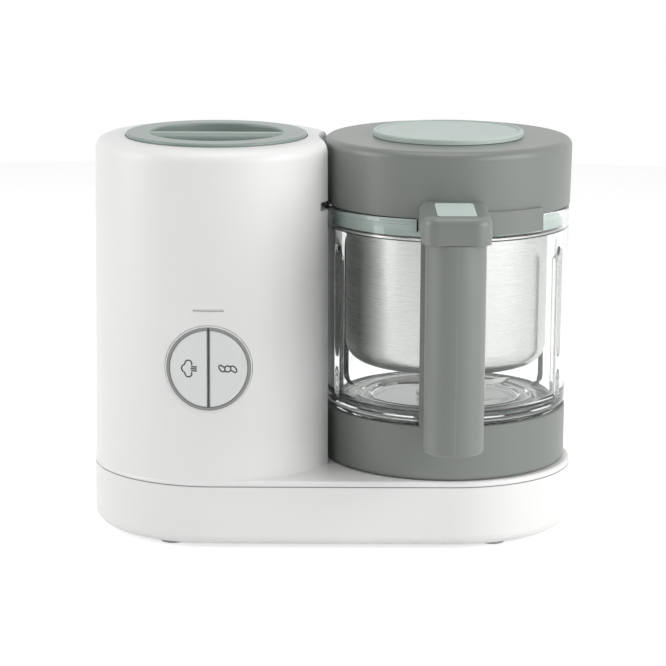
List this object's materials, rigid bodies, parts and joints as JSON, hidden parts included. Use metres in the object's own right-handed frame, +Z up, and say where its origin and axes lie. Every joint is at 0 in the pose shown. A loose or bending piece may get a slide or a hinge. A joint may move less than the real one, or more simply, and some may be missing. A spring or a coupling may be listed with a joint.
{
  "type": "baby food maker",
  "caption": "Baby food maker: a white boiler tower with push buttons and a screw cap beside a lidded glass blender jug with steam basket, blade and handle, on one long base.",
  "frame": {"origin": "on the table under the middle of the whole outline, handle included", "axes": "+X along the base from the tower to the jug, +Y from the handle to the rear, +Z up"},
  "size_m": [0.28, 0.2, 0.2325],
  "materials": {
    "white_shell": "satin moulded plastic",
    "white_button": "satin plastic with a moulded sign",
    "grey_ring": "satin plastic",
    "lamp": "clouded clear plastic",
    "grey_green": "fine matte plastic",
    "sage": "fine matte plastic",
    "mint": "fine matte plastic",
    "silicone": "soft silicone",
    "foot_rubber": "matte rubber",
    "belt_rubber": "matte rubber",
    "glass": "clear thick glass",
    "steel": "brushed stainless steel",
    "screw_steel": "zinc plated",
    "motor_steel": "dark motor shell",
    "bronze": "sintered bronze",
    "heater": "cast",
    "board": "circuit board",
    "dark_plastic": "dark moulded plastic"
  },
  "bodies": {
    "base": {"main_housing": "white_shell", "base_tray": "white_shell", "rubber_feet": "foot_rubber", "base_screws": "screw_steel", "cord_gland": "dark_plastic", "button_ring": "grey_ring", "lamp_window": "lamp", "control_board": "board", "push_switches": "dark_plastic", "boiler_tank": "steel", "heating_plate": "heater", "steam_nozzle": "silicone", "motor_case": "motor_steel", "drive_belt": "belt_rubber", "lower_bearing": "bronze", "upper_bearing": "bronze"},
    "cap_gasket": {"cap_gasket": "silicone"},
    "boiler_cap": {"boiler_cap": "sage"},
    "steam_button": {"steam_button": "white_button"},
    "blend_button": {"blend_button": "white_button"},
    "motor_rotor": {"motor_rotor": "screw_steel", "motor_pulley": "dark_plastic"},
    "drive_spindle": {"drive_spindle": "screw_steel", "spindle_pulley": "dark_plastic", "drive_dog": "dark_plastic"},
    "bowl_seal": {"bowl_seal": "silicone"},
    "jug": {"glass_bowl": "glass", "jug_collar": "grey_green", "jug_handle": "grey_green", "blade_bearing": "steel"},
    "cutter": {"driven_dog": "dark_plastic", "blade_shaft": "steel", "blade": "steel", "blade_nut": "steel"},
    "steam_basket": {"steam_basket": "steel"},
    "lid_seal": {"lid_seal": "silicone"},
    "lid": {"lid": "grey_green"},
    "release_key": {"release_key": "mint"},
    "lid_stopper": {"lid_stopper": "mint"}
  },
  "joints": [
    {"name": "cap_lift", "type": "slide", "parent": "base", "child": "cap_gasket", "axis": [0, 0, 1], "range_m": [0, 0.06]},
    {"name": "cap_turn", "type": "hinge", "parent": "cap_gasket", "child": "boiler_cap", "pos_m": [-0.068, 0.028, 0.2295], "axis": [0, 0, 1], "range_deg": [0, 90]},
    {"name": "steam_button_press", "type": "slide", "parent": "base", "child": "steam_button", "axis": [0, 1, 0], "range_m": [0, 0.0015], "stiffness_N_per_m": 600},
    {"name": "blend_button_press", "type": "slide", "parent": "base", "child": "blend_button", "axis": [0, 1, 0], "range_m": [0, 0.0015], "stiffness_N_per_m": 600},
    {"name": "motor_spin", "type": "hinge", "parent": "base", "child": "motor_rotor", "pos_m": [-0.068, 0.028, 0.07], "axis": [0, 0, 1], "continuous": true},
    {"name": "spindle_spin", "type": "hinge", "parent": "base", "child": "drive_spindle", "pos_m": [0.066, 0.028, 0.03], "axis": [0, 0, 1], "continuous": true},
    {"name": "jug_lift", "type": "slide", "parent": "base", "child": "bowl_seal", "axis": [0, 0, 1], "range_m": [0, 0.06]},
    {"name": "jug_turn", "type": "hinge", "parent": "bowl_seal", "child": "jug", "pos_m": [0.066, 0.028, 0.066], "axis": [0, 0, 1], "range_deg": [0, 40]},
    {"name": "blade_spin", "type": "hinge", "parent": "jug", "child": "cutter", "pos_m": [0.066, 0.028, 0.08], "axis": [0, 0, 1], "continuous": true},
    {"name": "basket_lift", "type": "slide", "parent": "jug", "child": "steam_basket", "axis": [0, 0, 1], "range_m": [0, 0.1]},
    {"name": "lid_lift", "type": "slide", "parent": "steam_basket", "child": "lid_seal", "axis": [0, 0, 1], "range_m": [0, 0.08]},
    {"name": "lid_turn", "type": "hinge", "parent": "lid_seal", "child": "lid", "pos_m": [0.066, 0.028, 0.2], "axis": [0, 0, 1], "range_deg": [0, 30]},
    {"name": "key_press", "type": "slide", "parent": "lid", "child": "release_key", "axis": [0, 0, -1], "range_m": [0, 0.002], "stiffness_N_per_m": 500},
    {"name": "stopper_lift", "type": "slide", "parent": "lid", "child": "lid_stopper", "axis": [0, 0, 1], "range_m": [0, 0.04]}
  ],
  "couplings": [
    {"joint": "spindle_spin", "follows": "motor_spin", "ratio": 0.46755},
    {"joint": "blade_spin", "follows": "motor_spin", "ratio": 0.46755}
  ]
}
